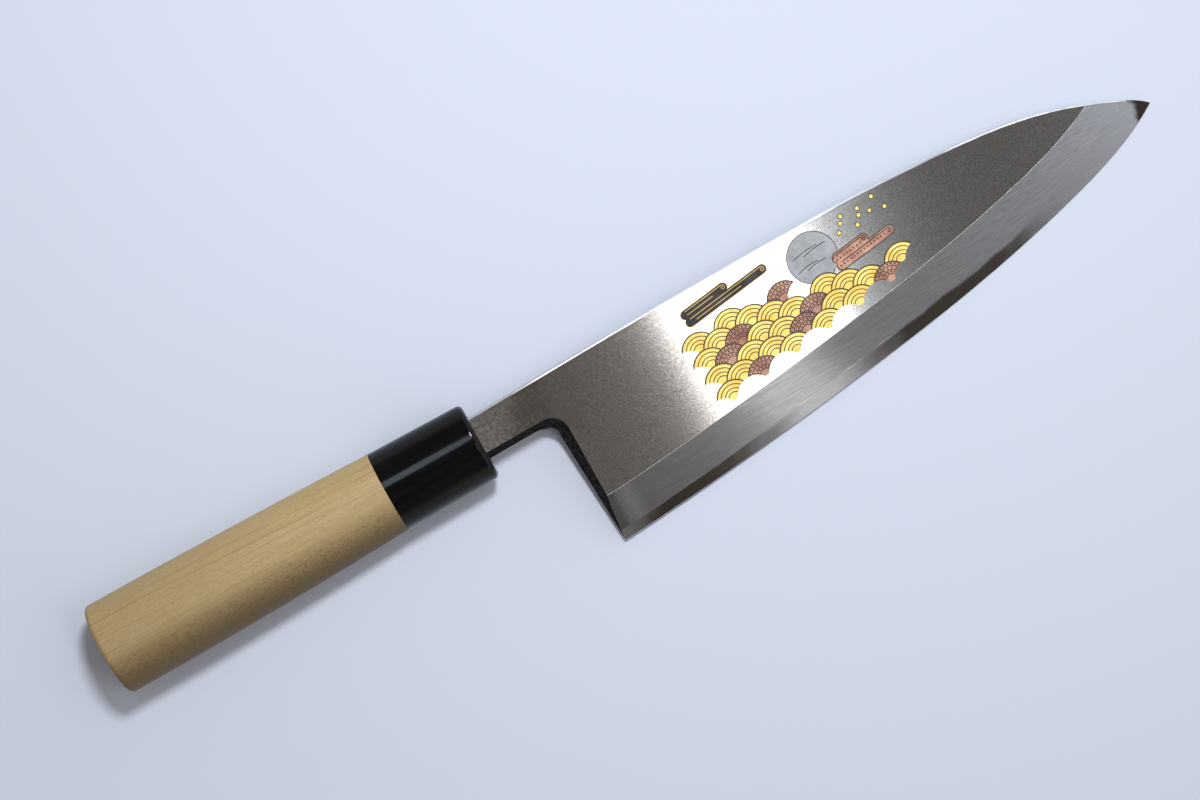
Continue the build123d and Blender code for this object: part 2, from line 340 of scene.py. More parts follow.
# %% Ground metal
def ground_metal(finish, marks_depth, roughening=0.0):
    """Fine lengthwise marks: an anisotropic lobe, and the grain that breaks it up."""
    is_side = finish.between(finish.math("ABSOLUTE", finish.split(finish.facing)[1]), 0.5, 0.8)
    across_marks = finish.mix(is_side, (*knife_axes.col[1], 1), (*knife_axes.col[2], 1))
    tangent = finish.add("ShaderNodeVectorTransform", vector_type="VECTOR",
                         convert_from="OBJECT", convert_to="WORLD")
    finish.link(across_marks, tangent.inputs[0])
    finish.link(tangent.outputs[0], finish.shader.inputs["Tangent"])
    finish.shader.inputs["Anisotropic"].default_value = 1.0
    marks = finish.noise(finish.stretched((0.02, 0.9, 0.9)), 1.0, 1.0, 0.5)
    fine_marks = finish.noise(finish.stretched((0.03, 3.4, 3.4)), 1.0, 3.0, 0.7)
    grain = finish.noise(finish.place, 2.2, 1.0, 0.5)
    marked = finish.math("MULTIPLY", marks, marks_depth)
    grained = finish.math("ADD", marked, finish.math("MULTIPLY", grain, 0.06))
    pits = finish.noise(finish.place, 4.0, 3.0, 0.7)
    finish.bump(finish.math("ADD", grained, finish.math("MULTIPLY", pits, roughening)), 1.0, 0.02 * mm)
    return fine_marks, grain


iron = Finish("ground_iron")
along, across, up = iron.split(iron.place)
face_along, face_across, face_up = iron.split(iron.facing)
is_face = iron.between(face_up, 0.988, 0.998)
neck_edge = iron.math("ADD", along, iron.math("MULTIPLY", iron.noise(iron.place, 0.12, 2.0, 0.5), 20.0))
is_forged = iron.rest(iron.between(neck_edge, 16.0, 48.0))
is_neck = iron.math("MULTIPLY", is_forged, iron.between(across, -20.0, -4.0))
marks_depth = iron.math("SUBTRACT", 2.0, iron.math("MULTIPLY", is_face, 0.8))
iron_marks = ground_metal(iron, marks_depth, iron.math("MULTIPLY", is_neck, 0.6))[0]

# %% [markdown]
# One iron body has several surfaces. The face, the bevel and the spine's narrow side are ground bright,
# the neck is left rough from the forge and the file, and the narrow sides of the neck and the choil are
# black with forge scale, made so dark that it also paints the shade on these unlit sides. The surface's
# own direction tells them apart: the face looks straight up, the bevel leans towards the edge, and the
# sides are steep.

# %% Surfaces of the iron
def scale_and_painted_shade(finish):
    """The black skin that the forge leaves, so dark that it also paints the shade of the unlit sides."""
    return finish.ramp(finish.noise(finish.place, 0.8, 4.0),
                       (0.4, (0.014, 0.014, 0.015, 1)), (0.75, (0.060, 0.056, 0.052, 1)))


is_steep = iron.rest(iron.between(iron.math("ABSOLUTE", face_up), 0.66, 0.80))
is_spine_side = iron.between(face_across, 0.35, 0.60)
face_warmth = iron.mix(iron.between(along, 30.0, 150.0), (0.58, 0.54, 0.505, 1), (0.55, 0.54, 0.54, 1))
speckle = iron.ramp(iron.noise(iron.place, 1.7, 3.0, 0.7), (0.32, 0.67), (0.68, 1.13))
grained_face = iron.mix(1.0, face_warmth, speckle, "MULTIPLY")
slanting = iron.add("ShaderNodeVectorRotate", rotation_type="Z_AXIS")
iron.link(iron.place, slanting.inputs["Vector"])
slanting.inputs["Angle"].default_value = math.radians(52)
stroke_noise = iron.noise(iron.stretched((0.30, 2.6, 0.30), slanting.outputs[0]), 1.0, 0.0)
strokes = iron.math("MULTIPLY", iron.between(stroke_noise, 0.765, 0.83), 0.35)
grained_face = iron.mix(strokes, grained_face, (0.92, 0.90, 0.87, 1))
streaks = iron.ramp(iron_marks, (0.36, (0.46, 0.46, 0.472, 1)), (0.64, (0.60, 0.60, 0.615, 1)))
# Along the bevel the colour is darker up to 26 mm, lighter at about 31 mm, darker again from 36 to 60 mm,
# and plain from 76 mm on.
bevel_heel_tone = iron.ramp(iron.math("MULTIPLY", along, 0.01), (0.26, 0.55), (0.29, 0.95), (0.31, 1.10),
                      (0.36, 0.80), (0.60, 0.78), (0.76, 1.0), ease=True)
ground = iron.mix(is_face, iron.mix(1.0, streaks, bevel_heel_tone, "MULTIPLY"), grained_face)
worn = iron.ramp(iron.noise(iron.place, 0.9, 5.0, 0.75),
                 (0.35, (0.135, 0.118, 0.100, 1)), (0.66, (0.38, 0.335, 0.29, 1)))
tan_stain = iron.math("MULTIPLY", iron.between(iron.noise(iron.place, 0.35, 4.0, 0.7), 0.50, 0.68), 0.45)
bright = iron.mix(is_neck, ground, iron.mix(tan_stain, worn, (0.36, 0.27, 0.18, 1)))
# Painted shade: the steep sides, other than the spine's, take the near-black scale, which also stands for
# their shade.
iron_color = iron.mix(is_steep, bright, iron.mix(is_spine_side, scale_and_painted_shade(iron), streaks))

# %% Sheen of the iron
neck_rough = iron.math("MULTIPLY", iron.rest(iron.between(neck_edge, 8.0, 32.0)), 0.30)
side_rough = iron.math("MULTIPLY", is_steep, 0.15)
iron_rough = iron.math("ADD", 0.165, iron.math("ADD", neck_rough, side_rough))
iron_metal = iron.rest(iron.math("MULTIPLY", is_steep, iron.rest(is_spine_side)))
iron.surface(Base_Color=iron_color, Roughness=iron_rough, Metallic=iron_metal, Specular_IOR_Level=0.0)
dress("blade_iron", iron.material)

# %% [markdown]
# The hard steel shows as a strip along the edge and as the whole back. It is polished finer than the
# iron. Low on the bevel it carries a thin brown patina with a wavy upper border, and at the very tip a
# dark patch is a painted reflection of dark surroundings.

# %% Steel of the edge and the back
steel = Finish("edge_steel")
steel_marks, steel_grain = ground_metal(steel, 2.0)
along, across, up = steel.split(steel.place)
face_along, face_across, face_up = steel.split(steel.facing)
is_upward = steel.between(face_up, 0.0, 0.3)
wander = steel.math("MULTIPLY", steel.noise(steel.place, 0.07, 2.0), 22.0)
place = steel.math("ADD", along, steel.math("SUBTRACT", wander, 11.0))
heel_patina = steel.math("MULTIPLY", steel.between(place, 24.0, 38.0), steel.between(place, 92.0, 58.0))
belly_patina = steel.math("MULTIPLY", steel.between(place, 106.0, 130.0), steel.between(place, 192.0, 166.0))
ripple = steel.math("MULTIPLY", steel.noise(steel.place, 0.06, 3.0, 0.6), 0.9)
height = steel.math("ADD", steel.math("ADD", up, ripple), steel.math("MULTIPLY", along, 0.003))
is_low = steel.math("MULTIPLY", steel.between(height, -1.52, -1.80), is_upward)
patina = steel.math("MULTIPLY", steel.math("MAXIMUM", heel_patina, belly_patina), is_low)
tip_line = steel.math("ADD", along, steel.math("MULTIPLY", steel.noise(steel.place, 0.3, 1.0), 4.0))
# Painted reflection: the dark patch at the very tip stands for dark surroundings mirrored there.
painted_tip_reflection = steel.math("MULTIPLY", steel.between(tip_line, 224.6, 227.2), is_upward)
bare = steel.mix(steel_marks, (0.46, 0.462, 0.472, 1), (0.58, 0.58, 0.595, 1))
browned = steel.mix(patina, bare, (0.135, 0.115, 0.092, 1))
tip_reflection_added = steel.mix(painted_tip_reflection, browned, (0.060, 0.045, 0.035, 1))
is_steep = steel.rest(steel.between(steel.math("ABSOLUTE", face_up), 0.5, 0.62))
is_spine_side = steel.between(face_across, 0.35, 0.60)
# Painted shade: the steep sides of the steel, other than the spine's, take the near-black scale, which also
# stands for their shade.
steel_color = steel.mix(is_steep, tip_reflection_added, steel.mix(is_spine_side, scale_and_painted_shade(steel), bare))

# %% Sheen of the steel
polish = steel.math("ADD", 0.14, steel.math("MULTIPLY", steel_grain, 0.06))
steel_rough = steel.math("ADD", polish, steel.math("MULTIPLY", is_steep, 0.25))
steel_metal = steel.rest(steel.math("MULTIPLY", is_steep, steel.rest(is_spine_side)))
steel.surface(Base_Color=steel_color, Roughness=steel_rough, Metallic=steel_metal, Specular_IOR_Level=0.0)
dress("blade_steel", steel.material)

# %% [markdown]
# The handle is a pale, close-grained softwood-like timber, turned oval and left plain. Its fibres run
# along it, so every pattern is drawn out along the handle. The growth layers are told apart by one
# number, which rises across the handle and wanders slowly. Each whole step of it is a line, so the lines
# run side by side and never cross, as in a board.

# %% Growth lines and fibres
wood = Finish("plain_wood")
along, across, up = wood.split(wood.place)
face_along, face_across, face_up = wood.split(wood.facing)
wander = wood.noise(wood.stretched((0.014, 0.05, 0.05)), 1.0, 2.0, 0.5)
slope = wood.math("ADD", wood.math("MULTIPLY", along, 0.045), wood.math("MULTIPLY", up, 0.35))
layer = wood.math("ADD", wood.math("ADD", across, slope), wood.math("MULTIPLY", wander, 5.0))
rings = wood.math("PINGPONG", wood.math("MULTIPLY", layer, 0.95), 1.0)
ring_place = wood.add("ShaderNodeCombineXYZ")
wood.link(layer, ring_place.inputs["Y"])
wood.link(wood.math("MULTIPLY", along, 0.02), ring_place.inputs["X"])
ring_depth = wood.noise(ring_place.outputs[0], 0.55, 2.0, 0.5)
growth_line = wood.math("MULTIPLY", wood.between(rings, 0.70, 1.0), wood.between(ring_depth, 0.40, 0.66))
fibre = wood.noise(wood.stretched((0.05, 1.9, 1.9)), 1.0, 4.0, 0.65)
fine_fibre = wood.noise(wood.stretched((0.30, 6.0, 6.0)), 1.0, 2.0, 0.6)
streak = wood.noise(wood.stretched((0.010, 0.28, 0.28)), 1.0, 2.0, 0.5)

# %% Colour of the wood
upper_side = wood.between(across, 2.0, 10.0)
lower_side = wood.between(across, 1.0, -12.5)
pale = wood.mix(streak, tone(166, 142, 96), tone(190, 166, 118))
fibred = wood.mix(wood.between(fibre, 0.38, 0.66), pale, tone(170, 144, 98))
line_depth = wood.math("ADD", 0.30, wood.math("MULTIPLY", upper_side, 0.60))
line_strength = wood.math("MULTIPLY", growth_line, line_depth)
lined = wood.mix(line_strength, fibred, tone(142, 98, 66))
fleck = wood.between(wood.noise(wood.stretched((0.8, 2.6, 2.6)), 1.0, 2.0, 0.7), 0.50, 0.66)
fleck_strength = wood.math("MULTIPLY", fleck, wood.math("MULTIPLY", wood.between(across, -1.0, -8.0), 0.75))
flecked = wood.mix(fleck_strength, lined, tone(84, 62, 38))
# Painted shade: the lower side of the handle, turned away from the lamp, darkens towards a deep brown.
lower_shade_painted = wood.mix(wood.math("MULTIPLY", lower_side, 0.88), flecked, tone(84, 66, 40))
# Painted shade: the handle darkens towards the butt, which lies farther from the lamp.
painted_butt_shade = wood.math("MULTIPLY", wood.between(along, -50.0, -125.0), 0.26)
with_butt_shade = wood.mix(painted_butt_shade, lower_shade_painted, tone(120, 96, 62))
is_end = wood.between(face_along, -0.6, -0.9)
end_rings = wood.between(rings, 0.3, 0.9)
end_grain = wood.mix(end_rings, tone(158, 132, 92), tone(134, 104, 68))
pores = wood.ramp(wood.noise(wood.stretched((0.9, 3.8, 3.8)), 1.0, 3.0, 0.75), (0.34, 0.84), (0.62, 1.06))
wood_color = wood.mix(1.0, wood.mix(is_end, with_butt_shade, end_grain), pores, "MULTIPLY")

wood_height = wood.math("ADD", fibre, wood.math("MULTIPLY", fine_fibre, 0.6))
wood.bump(wood_height, 0.5, 0.05 * mm)
wood_rough = wood.math("ADD", 0.46, wood.math("MULTIPLY", fine_fibre, 0.14))
dress("handle", wood.surface(Base_Color=wood_color, Roughness=wood_rough, Specular_IOR_Level=0.35))

# %% [markdown]
# The ferrule is water buffalo horn, polished to a black gloss. Horn grows in fine layers, so faint
# brownish streaks run along it under the polish.

# %% Horn ferrule
horn = Finish("black_horn")
layers = horn.noise(horn.stretched((0.03, 0.9, 0.9)), 1.0, 4.0, 0.6)
horn_color = horn.ramp(layers, (0.45, (0.0015, 0.0015, 0.0018, 1)), (0.75, (0.006, 0.005, 0.0045, 1)))
haze = horn.noise(horn.stretched((0.10, 0.8, 0.8)), 1.0, 4.0, 0.6)
horn_rough = horn.math("ADD", 0.08, horn.math("MULTIPLY", haze, 0.08))
horn.bump(layers, 0.10, 0.02 * mm)
dress("ferrule", horn.surface(Base_Color=horn_color, Roughness=horn_rough, Specular_IOR_Level=0.22))

# %% [markdown]
# Dark wax closes the ferrule's mouth round the neck, and a sandy cement holds the tang inside the handle.

# %% Seal and cement
wax = Finish("dark_wax")
wax_color = wax.ramp(wax.noise(wax.place, 0.7, 4.0),
                     (0.35, (0.012, 0.009, 0.007, 1)), (0.75, (0.060, 0.042, 0.028, 1)))
wax.bump(wax.noise(wax.place, 1.4, 4.0), 0.5, 0.08 * mm)
dress("mouth_seal", wax.surface(Base_Color=wax_color, Roughness=0.55))

cement = Finish("sandy_cement")
cement_color = cement.ramp(cement.noise(cement.place, 1.6, 4.0),
                           (0.35, tone(120, 100, 76)), (0.7, tone(156, 134, 104)))
cement.bump(cement.noise(cement.place, 2.4, 4.0), 0.6, 0.1 * mm)
dress("tang_bedding", cement.surface(Base_Color=cement_color, Roughness=0.9))

# %% [markdown]
# The picture in the blade is made of thin plates of four metals, let in flush. They are softer than the
# blade and rubbed dull, so they show their own colour more than a mirror image: yellow gilding, pinkish
# copper, a blackened alloy and grey silver.

# %% Picture metals
def picture_metal(name, low, high, metal, rough):
    """A dull plate whose colour drifts between two tones, with a fine grain."""
    plate = Finish(name)
    drift = plate.noise(plate.place, 0.22, 4.0, 0.6)
    grain = plate.noise(plate.place, 2.2, 3.0, 0.6)
    blend = plate.math("ADD", plate.math("MULTIPLY", drift, 0.75), plate.math("MULTIPLY", grain, 0.35))
    color = plate.mix(plate.between(blend, 0.38, 0.72), low, high)
    plate.bump(grain, 0.3, 0.02 * mm)
    plate_rough = plate.math("ADD", rough, plate.math("MULTIPLY", grain, 0.12))
    return plate.surface(Base_Color=color, Metallic=metal, Roughness=plate_rough)


dress("inlay_gold", picture_metal("gilded_metal", tone(244, 202, 92), tone(255, 234, 140), 0.40, 0.42))
dress("inlay_copper", picture_metal("pink_copper", tone(158, 106, 88), tone(206, 160, 138), 0.40, 0.45))
dress("inlay_dark", picture_metal("blackened_alloy", tone(40, 36, 38), tone(70, 62, 62), 0.45, 0.45))
dress("inlay_silver", picture_metal("grey_silver", tone(146, 147, 149), tone(172, 173, 176), 0.45, 0.45))

# %% [markdown]
# The plates are then engraved. The cut lines are filled with a dark lacquer, so here each line is a thin
# ribbon of lacquer that follows the cut and stands a few hundredths of a millimetre proud. Everything is
# drawn flat, in the picture's own millimetres, and laid on the blade at the end. The corner and the turn
# of the picture are those of the CAD model.

# %% The picture's place
face_roll, face_pitch, picture_slant = (math.radians(angle) for angle in (6.32423, 2.49649, 7.63853))
picture_axes = (Matrix.Rotation(face_roll, 3, "X") @ Matrix.Rotation(face_pitch, 3, "Y")
                @ Matrix.Rotation(picture_slant, 3, "Z"))
picture_corner = Vector((17.6055 * mm, -10.2343 * mm, 7.93154 * mm))
onto_blade = Matrix.LocRotScale(picture_corner, picture_axes.to_quaternion(), Vector((mm, mm, mm)))

lacquer = Finish("dark_lacquer")
lacquer_color = lacquer.ramp(lacquer.noise(lacquer.place, 0.6, 4.0),
                             (0.35, (0.030, 0.017, 0.009, 1)), (0.7, (0.075, 0.040, 0.020, 1)))
lacquer.bump(lacquer.noise(lacquer.place, 2.0, 3.0), 0.4, 0.01 * mm)
lacquer.surface(Base_Color=lacquer_color, Roughness=0.5)

# %% [markdown]
# Geometry Nodes do the repeating. A tree is built in the script as a group of nodes with named inputs.
# One helper starts a tree, and another runs it on a drawing, keeps the result as a plain mesh and lays it
# on the blade.

# %% Helpers for Geometry Nodes
class Pattern(NodeTree):
    """A Geometry Nodes tree under construction."""

    def __init__(self, name, **sizes):
        self.tree = bpy.data.node_groups.new(name, "GeometryNodeTree")
        face = self.tree.interface
        face.new_socket("Drawing", in_out="INPUT", socket_type="NodeSocketGeometry")
        face.new_socket("Result", in_out="OUTPUT", socket_type="NodeSocketGeometry")
        self.ids = {}
        for size in sizes:
            socket = face.new_socket(size.replace("_", " "), in_out="INPUT", socket_type="NodeSocketFloat")
            self.ids[size] = socket.identifier
        self.sizes = sizes
        self.start = self.add("NodeGroupInput")
        self.end = self.add("NodeGroupOutput")

    def size(self, name):
        return self.start.outputs[name.replace("_", " ")]

    def times(self, size, factor):
        node = self.add("ShaderNodeMath", operation="MULTIPLY")
        self.link(size, node.inputs[0])
        node.inputs[1].default_value = factor
        return node.outputs[0]

    def ribbon(self, curve, width, flatness=0.16):
        """Sweeps a flat, closed, eight-sided section along a curve."""
        section = self.add("GeometryNodeCurvePrimitiveCircle", mode="RADIUS")
        section.inputs["Resolution"].default_value = 8
        self.link(self.times(width, 0.5), section.inputs["Radius"])
        flat = self.add("GeometryNodeTransform")
        self.link(section.outputs["Curve"], flat.inputs["Geometry"])
        flat.inputs["Scale"].default_value = (1.0, flatness, 1.0)
        level = self.add("GeometryNodeSetCurveNormal", mode="Z_UP")
        self.link(curve, level.inputs[0])
        sweep = self.add("GeometryNodeCurveToMesh")
        self.link(level.outputs[0], sweep.inputs["Curve"])
        self.link(flat.outputs[0], sweep.inputs["Profile Curve"])
        sweep.inputs["Fill Caps"].default_value = True
        return sweep.outputs[0]

    def finish(self, geometry, material):
        real = self.add("GeometryNodeRealizeInstances")
        self.link(geometry, real.inputs[0])
        coat = self.add("GeometryNodeSetMaterial")
        self.link(real.outputs[0], coat.inputs["Geometry"])
        coat.inputs["Material"].default_value = material
        self.link(coat.outputs[0], self.end.inputs[0])
        self.material = material


def made_by(pattern, name, points, edges, slot_name, lay=onto_blade):
    """Runs a pattern on a drawing in millimetres and lays the result on the blade."""
    drawing = bpy.data.meshes.new(name + "_drawing")
    drawing.from_pydata(points, edges, [])
    piece = bpy.data.objects.new(name, drawing)
    bpy.context.collection.objects.link(piece)
    modifier = piece.modifiers.new("pattern", "NODES")
    modifier.node_group = pattern.tree
    for size, value in pattern.sizes.items():
        modifier[pattern.ids[size]] = value
    depsgraph = bpy.context.evaluated_depsgraph_get()
    mesh = bpy.data.meshes.new_from_object(piece.evaluated_get(depsgraph), depsgraph=depsgraph)
    piece.modifiers.clear()
    mesh.transform(lay)
    work = bmesh.new()
    work.from_mesh(mesh)
    bmesh.ops.recalc_face_normals(work, faces=work.faces)
    work.to_mesh(mesh)
    work.free()
    mesh.materials.clear()
    mesh.materials.append(pattern.material)
    mesh.name = name
    piece.data = mesh
    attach(piece, "root")
    print(name, "has", len(mesh.polygons), "faces")


# %% [markdown]
# The waves are the old blue-sea pattern: rows of circles, each hidden below by the two beside it in the
# next row and by the one two rows down. What stays to be seen of a circle is a crescent. Its arcs share
# one centre, and a smaller arc starts at a slightly steeper angle, which follows from the two circles
# that cover it. Each wave is an instance of the same few arcs.

# %% Waves
wave_radius = 6.0
waves_per_row = (6, 6, 5, 4, 3, 3, 2)
copper_every = 4
copper_shift_per_row = 3
wave_centres = []
copper_centres = []
for row, count in enumerate(waves_per_row):
    for place in range(count):
        centre = (wave_radius * (1 + 2 * place + row % 2), wave_radius / 2 * row, 0)
        wave_centres.append(centre)
        if (place + copper_shift_per_row * row) % copper_every == 1:
            copper_centres.append(centre)
print(len(wave_centres), "waves,", len(copper_centres), "of copper")


def first_angle(radius):
    """Where an arc of a wave comes out from under the wave beside it."""
    reach = (radius ** 2 + wave_radius ** 2 / 4) / (radius * wave_radius * math.sqrt(5))
    return math.atan(2) - math.asin(reach)


def wave_arc(pattern, share):
    """One arc of the crescent, at a share of the wave's radius."""
    start = first_angle(share * wave_radius)
    arc = pattern.add("GeometryNodeCurveArc", mode="RADIUS")
    arc.inputs["Resolution"].default_value = 20
    pattern.link(pattern.times(pattern.size("wave_radius"), share), arc.inputs["Radius"])
    arc.inputs["Start Angle"].default_value = start
    arc.inputs["Sweep Angle"].default_value = math.pi - 2 * start
    return arc.outputs["Curve"]


# %% Wave arcs
waves = Pattern("wave_arcs", wave_radius=wave_radius, rim_width=0.44, line_width=0.30)
crescent = waves.add("GeometryNodeJoinGeometry")
waves.link(waves.ribbon(wave_arc(waves, 0.97), waves.size("rim_width")), crescent.inputs[0])
for share in (0.76, 0.55, 0.36):
    waves.link(waves.ribbon(wave_arc(waves, share), waves.size("line_width")), crescent.inputs[0])
each_wave = waves.add("GeometryNodeInstanceOnPoints")
waves.link(waves.start.outputs["Drawing"], each_wave.inputs["Points"])
waves.link(crescent.outputs[0], each_wave.inputs["Instance"])
waves.finish(each_wave.outputs[0], lacquer.material)
made_by(waves, "wave_lines", wave_centres, [], "dark_alloy")

# %% [markdown]
# The copper plates are filled with small grains, struck close together with a round punch, as goldsmiths
# fill a ground. On a copper wave the grains follow the arcs, between the lines.

# %% Grains
grains = Pattern("punched_grains", grain_radius=0.30)
dome = grains.add("GeometryNodeMeshIcoSphere")
dome.inputs["Subdivisions"].default_value = 2
grains.link(grains.size("grain_radius"), dome.inputs["Radius"])
low_dome = grains.add("GeometryNodeTransform")
grains.link(dome.outputs["Mesh"], low_dome.inputs["Geometry"])
low_dome.inputs["Scale"].default_value = (1.0, 1.0, 0.30)
each_grain = grains.add("GeometryNodeInstanceOnPoints")
grains.link(grains.start.outputs["Drawing"], each_grain.inputs["Points"])
grains.link(low_dome.outputs[0], each_grain.inputs["Instance"])
grains.finish(each_grain.outputs[0], lacquer.material)


def on_circle(centre, radius, angle):
    return centre[0] + radius * math.cos(angle), centre[1] + radius * math.sin(angle)


grain_spacing = 1.25
grain_end_gap = 0.35
grain_row_shares = (0.865, 0.655, 0.46)
grain_places = []
for centre in copper_centres:
    for share in grain_row_shares:
        radius = share * wave_radius
        start = first_angle(radius) + grain_end_gap / radius
        sweep = math.pi - 2 * start
        steps = round(sweep * radius / grain_spacing)
        for step in range(steps + 1):
            angle = start + sweep * step / steps
            grain_places.append((*on_circle(centre, radius, angle), 0))
print(len(grain_places), "grains on the copper waves")

# %% [markdown]
# Two banks of cloud float above the waves. Each is a pile of round-ended bars. A line runs inside the
# outline of each bar and rolls up into a curl at its far end, the way clouds are drawn on lacquer work.
# The lines of the blackened bank are gilded wire, with one more along each bar. Those of the copper bank
# are lacquered cuts, with grains between them.

# %% Clouds
bar_height = 3.0
bar_rise = 2.7
bar_end_steps = 16
bar_side_steps = 40
dark_corner, dark_length, dark_shares = (7.0, 27.0), 30.0, (1.0, 0.57)
copper_corner, copper_length, copper_shares = (54.5, 13.2), 21.0, (1.0, 0.62)


def cloud_bars(corner, length, shares):
    """Run, lift and length of each bar of a bank, from the lowest up."""
    return [(corner[0], corner[1] + bar_rise * row, length * share) for row, share in enumerate(shares)]


dark_bars = cloud_bars(dark_corner, dark_length, dark_shares)
copper_bars = cloud_bars(copper_corner, copper_length, copper_shares)


def depth_in_bar(point, bar):
    """How deep a point lies inside a round-ended bar, negative outside."""
    run, lift, length = bar
    nearest = min(max(point[0], run + bar_height / 2), run + length - bar_height / 2)
    return bar_height / 2 - math.hypot(point[0] - nearest, point[1] - lift)


def bar_outline(bar):
    """Points round the edge of a bar, anticlockwise from the top of its left end."""
    run, lift, length = bar
    radius = bar_height / 2
    ends = ((run + bar_height / 2, math.pi / 2), (run + length - bar_height / 2, -math.pi / 2))
    points = []
    for centre, start in ends:
        for step in range(bar_end_steps + 1):
            angle = start + math.pi * step / bar_end_steps
            points.append(on_circle((centre, lift), radius, angle))
    side_places = [run + bar_height / 2 + (length - bar_height) * step / bar_side_steps
                   for step in range(1, bar_side_steps)]
    low_side = [(x, lift - radius) for x in side_places]
    high_side = [(x, lift + radius) for x in reversed(side_places)]
    return points[:bar_end_steps + 1] + low_side + points[bar_end_steps + 1:] + high_side


# %% [markdown]
# A drawing is a list of points and of the edges between them. A path is added to it point by point, and
# where a point is hidden behind something in front, the path breaks off and starts again after it.

# %% Drawings
class Drawing:
    """Points and edges of the lines to be engraved."""

    def __init__(self):
        self.points, self.edges = [], []

    def path(self, points, closed=False, hidden=lambda point: False):
        points = list(points) + ([points[0]] if closed else [])
        last = None
        for point in points:
            if hidden(point):
                last = None
                continue
            self.points.append((point[0], point[1], 0))
            if last is not None:
                self.edges.append((last, len(self.points) - 1))
            last = len(self.points) - 1


curl_narrowing = 0.82
curl_steps_per_turn = 18


def circle(centre, radius, steps):
    return [on_circle(centre, radius, math.tau * step / steps) for step in range(steps)]


def curl(centre, radius, turns, start, side):
    """A spiral that winds inwards from a radius."""
    steps = int(turns * curl_steps_per_turn)
    return [on_circle(centre, radius * (1 - curl_narrowing * step / steps),
                      start + side * math.tau * turns * step / steps)
            for step in range(steps + 1)]


# %% Cloud lines
line_start, line_lift, line_steps = 2.0, 0.85, 24
curl_turns = 1.25
hidden_depth = 0.02
hatch_start, hatch_share, hatch_drop, hatch_steps = 0.12, 0.56, 0.35, 12


def cloud_drawing(bank):
    """Outline of a bank of cloud, and in each bar a line that ends in a curl."""
    drawing = Drawing()
    for bar in bank:
        others = [other for other in bank if other is not bar]
        drawing.path(bar_outline(bar), closed=True,
                     hidden=lambda point: any(depth_in_bar(point, other) > hidden_depth for other in others))
        run, lift, length = bar
        curl_centre = (run + length - bar_height / 2, lift)
        line_length = length - line_start - bar_height / 2
        level_line = [(run + line_start + line_length * step / line_steps, lift + line_lift)
                      for step in range(line_steps)]
        drawing.path(level_line + curl(curl_centre, line_lift, curl_turns, math.pi / 2, -1))
    return drawing


copper_cloud = cloud_drawing(copper_bars)
dark_cloud = cloud_drawing(dark_bars)
for run, lift, length in dark_bars:
    dark_cloud.path([(run + length * (hatch_start + hatch_share * step / hatch_steps), lift - hatch_drop)
                     for step in range(hatch_steps + 1)])
print(len(copper_cloud.edges) + len(dark_cloud.edges), "strokes in the clouds")


# %% Lines from a drawing
def line_pattern(name, width, material):
    """A tree that turns the edges of a drawing into ribbons."""
    lines = Pattern(name, line_width=width)
    as_curve = lines.add("GeometryNodeMeshToCurve")
    lines.link(lines.start.outputs["Drawing"], as_curve.inputs[0])
    lines.finish(lines.ribbon(as_curve.outputs[0], lines.size("line_width")), material)
    return lines


made_by(line_pattern("cut_lines", 0.34, lacquer.material), "copper_cloud_lines",
        copper_cloud.points, copper_cloud.edges, "dark_alloy")
wire = picture_metal("gilded_wire", tone(206, 170, 96), tone(226, 194, 120), 0.40, 0.42)
made_by(line_pattern("wire_lines", 0.22, wire), "dark_cloud_lines",
        dark_cloud.points, dark_cloud.edges, "gold")

# %% Grains of the copper cloud
row_rise = grain_spacing * math.sqrt(3) / 2
grain_rows, grains_per_row = range(-1, 5), 20
clear_edge, clear_curl, clear_line = 0.45, 1.35, 0.42
clear_line_lift = 0.95


def is_clear(spot):
    """Whether a grain here keeps off the cloud's outline, its curls and its lines."""
    depth = max(depth_in_bar(spot, bar) for bar in copper_bars)
    near_curl = any(math.hypot(spot[0] - run - length + bar_height / 2, spot[1] - lift) < clear_curl
                    for run, lift, length in copper_bars)
    on_line = any(abs(spot[1] - lift - clear_line_lift) < clear_line
                  and run + line_start < spot[0] < run + length - line_start
                  for run, lift, length in copper_bars)
    return depth > clear_edge and not near_curl and not on_line


for row in grain_rows:
    for place in range(grains_per_row):
        run = copper_corner[0] + grain_spacing * (place + 0.5 * (row % 2))
        spot = (run, copper_corner[1] + row_rise * row, 0)
        if is_clear(spot):
            grain_places.append(spot)
made_by(grains, "punched_grains", grain_places, [], "dark_alloy")

# %% [markdown]
# The silver moon stands half behind the waves and the copper cloud. It has a thin outline and four
# streaks of mist, drawn as flat arcs. Flakes of gold, blown off the waves, get a fine ring each.

# %% Moon and flakes
moon_radius, moon_centre, moon_steps = 8.0, (50.0, 20.5), 96
mist_streaks = ((2.6, -5.6, 3.4), (1.7, -2.2, 6.0), (-1.6, -6.4, 1.0), (-2.5, -3.4, 3.2))
mist_rise, mist_steps = 0.35, 20
wave_reach = wave_radius - 0.05
cloud_margin = 0.25


def behind_waves_or_cloud(point):
    in_wave = any(math.hypot(point[0] - x, point[1] - y) < wave_reach for x, y, z in wave_centres)
    return in_wave or any(depth_in_bar(point, bar) > -cloud_margin for bar in copper_bars)


moon_lines = Drawing()
moon_lines.path(circle(moon_centre, moon_radius, moon_steps), closed=True, hidden=behind_waves_or_cloud)
for lift, left, right in mist_streaks:
    mist = [(moon_centre[0] + left + (right - left) * step / mist_steps,
             moon_centre[1] + lift + mist_rise * math.sin(math.pi * step / mist_steps))
            for step in range(mist_steps + 1)]
    moon_lines.path(mist, hidden=behind_waves_or_cloud)

